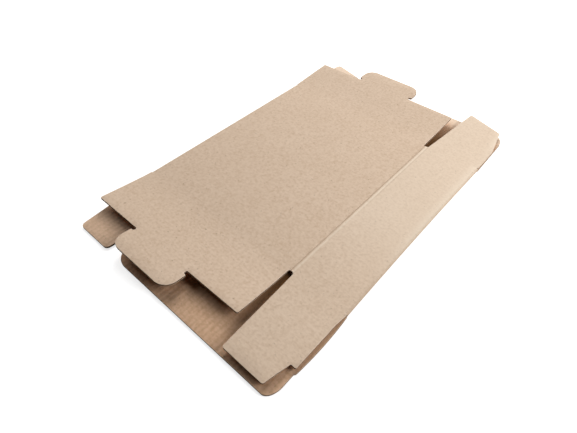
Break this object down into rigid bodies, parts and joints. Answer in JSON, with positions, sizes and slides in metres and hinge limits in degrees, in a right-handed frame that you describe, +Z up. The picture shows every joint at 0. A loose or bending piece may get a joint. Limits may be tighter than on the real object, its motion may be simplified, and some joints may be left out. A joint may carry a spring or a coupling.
{
  "type": "flattened cardboard box",
  "caption": "Corrugated carton glued into a tube and pressed flat, with tabbed lock flaps, dust flaps and a tuck flap.",
  "frame": {"origin": "centre of the footprint, on the surface the carton lies on", "axes": "+X across the tube, from the fold on the upper wide panel's side to the fold on the narrow panel's side; +Y along the tube, from the tuck flap's end to the other end; +Z up"},
  "size_m": [0.179, 0.2848, 0.0106],
  "materials": {
    "kraft_board": "matt brown kraft liner"
  },
  "bodies": {
    "tube": {"carton_tube": "kraft_board"},
    "front_lock": {"front_lock_flap": "kraft_board"},
    "rear_lock": {"rear_lock_flap": "kraft_board"},
    "front_dust": {"front_dust_flap": "kraft_board"},
    "rear_dust": {"rear_dust_flap": "kraft_board"}
  },
  "joints": [
    {"name": "front_lock_crease", "type": "hinge", "parent": "tube", "child": "front_lock", "pos_m": [-0.02248, -0.08023, 0.0044], "axis": [-1, 0, 0], "range_deg": [-4, 170]},
    {"name": "rear_lock_crease", "type": "hinge", "parent": "tube", "child": "rear_lock", "pos_m": [-0.02248, 0.08297, 0.0044], "axis": [1, 0, 0], "range_deg": [-4, 170]},
    {"name": "front_dust_crease", "type": "hinge", "parent": "tube", "child": "front_dust", "pos_m": [0.04652, -0.08023, 0.0044], "axis": [-0.9997, 0, 0.0227], "range_deg": [-1, 172]},
    {"name": "rear_dust_crease", "type": "hinge", "parent": "tube", "child": "rear_dust", "pos_m": [0.04652, 0.08297, 0.0044], "axis": [0.9997, 0, -0.0227], "range_deg": [-1, 172]}
  ]
}
